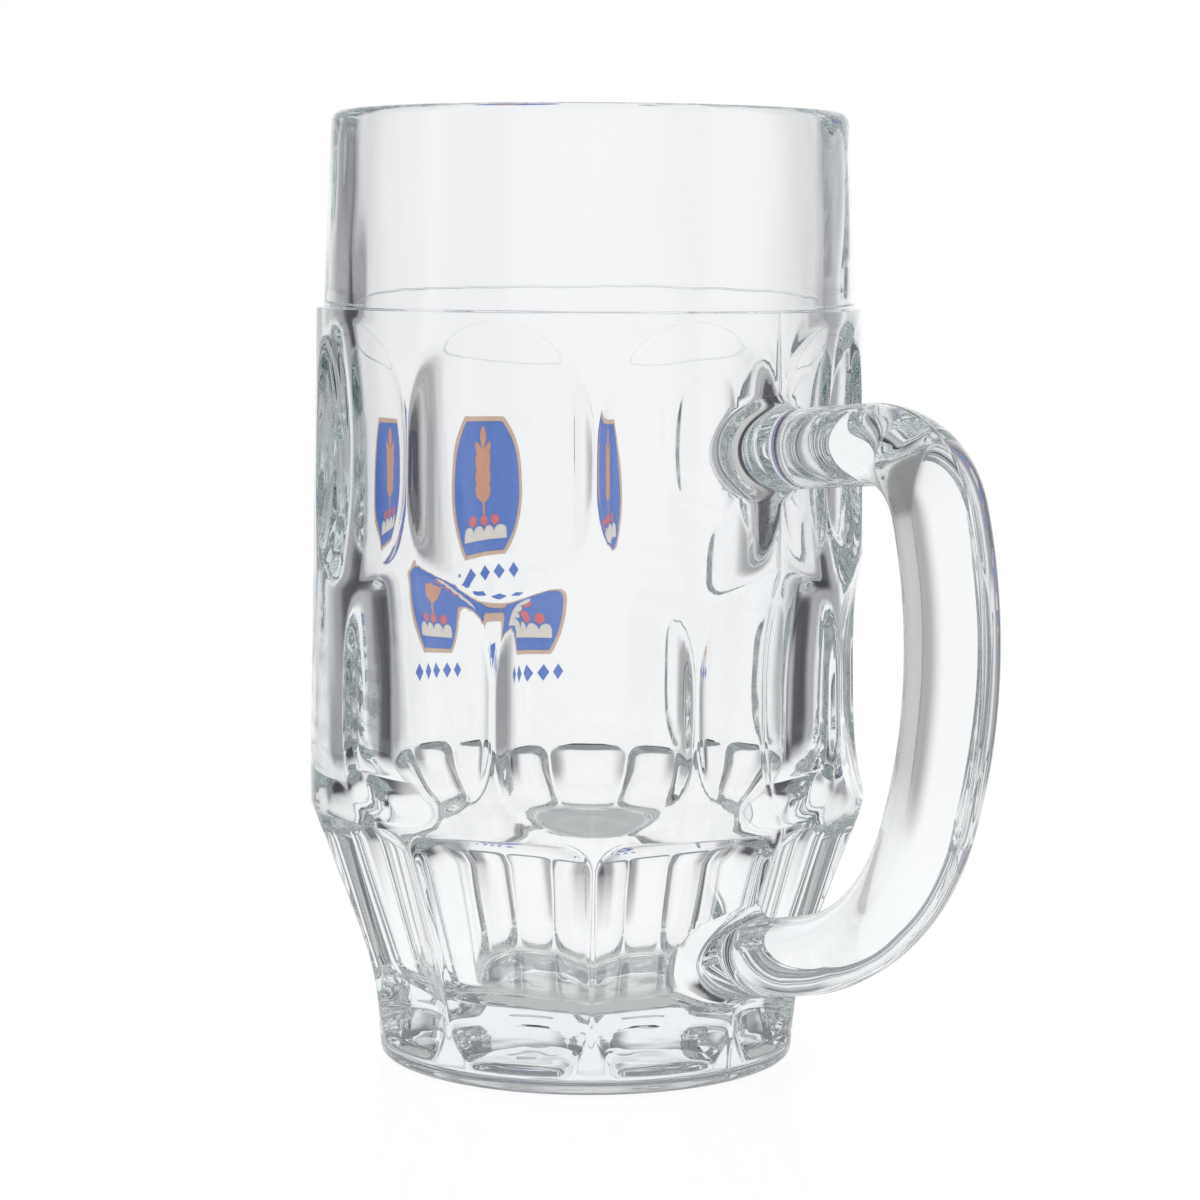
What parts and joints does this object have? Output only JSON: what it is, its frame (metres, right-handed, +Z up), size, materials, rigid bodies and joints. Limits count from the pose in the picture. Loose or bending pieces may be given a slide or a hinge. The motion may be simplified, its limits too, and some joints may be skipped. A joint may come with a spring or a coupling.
{
  "type": "dimpled glass beer mug",
  "caption": "Pressed-glass beer mug with a D-shaped handle, rows of concave dimples, a fluted foot, a plain drinking band and a small enamel print opposite the handle.",
  "frame": {"origin": "centre of the flat base, on the mug's axis, where it stands on the table", "axes": "+Z up along the mug's axis, +X towards the handle, +Y across the handle"},
  "size_m": [0.1351, 0.093, 0.157],
  "materials": {
    "clear_glass": "clear pressed soda-lime glass, fire polished",
    "tan_enamel": "fired screen-printed enamel, satin",
    "blue_enamel": "fired screen-printed enamel, satin",
    "gold_enamel": "fired screen-printed enamel, satin",
    "red_enamel": "fired screen-printed enamel, satin",
    "white_enamel": "fired screen-printed enamel, satin"
  },
  "bodies": {
    "root": {"glass_body": "clear_glass", "handle": "clear_glass", "print_border": "tan_enamel", "print_field": "blue_enamel", "print_ear": "gold_enamel", "print_berries": "red_enamel", "print_band": "white_enamel", "print_marks": "blue_enamel"}
  },
  "joints": []
}
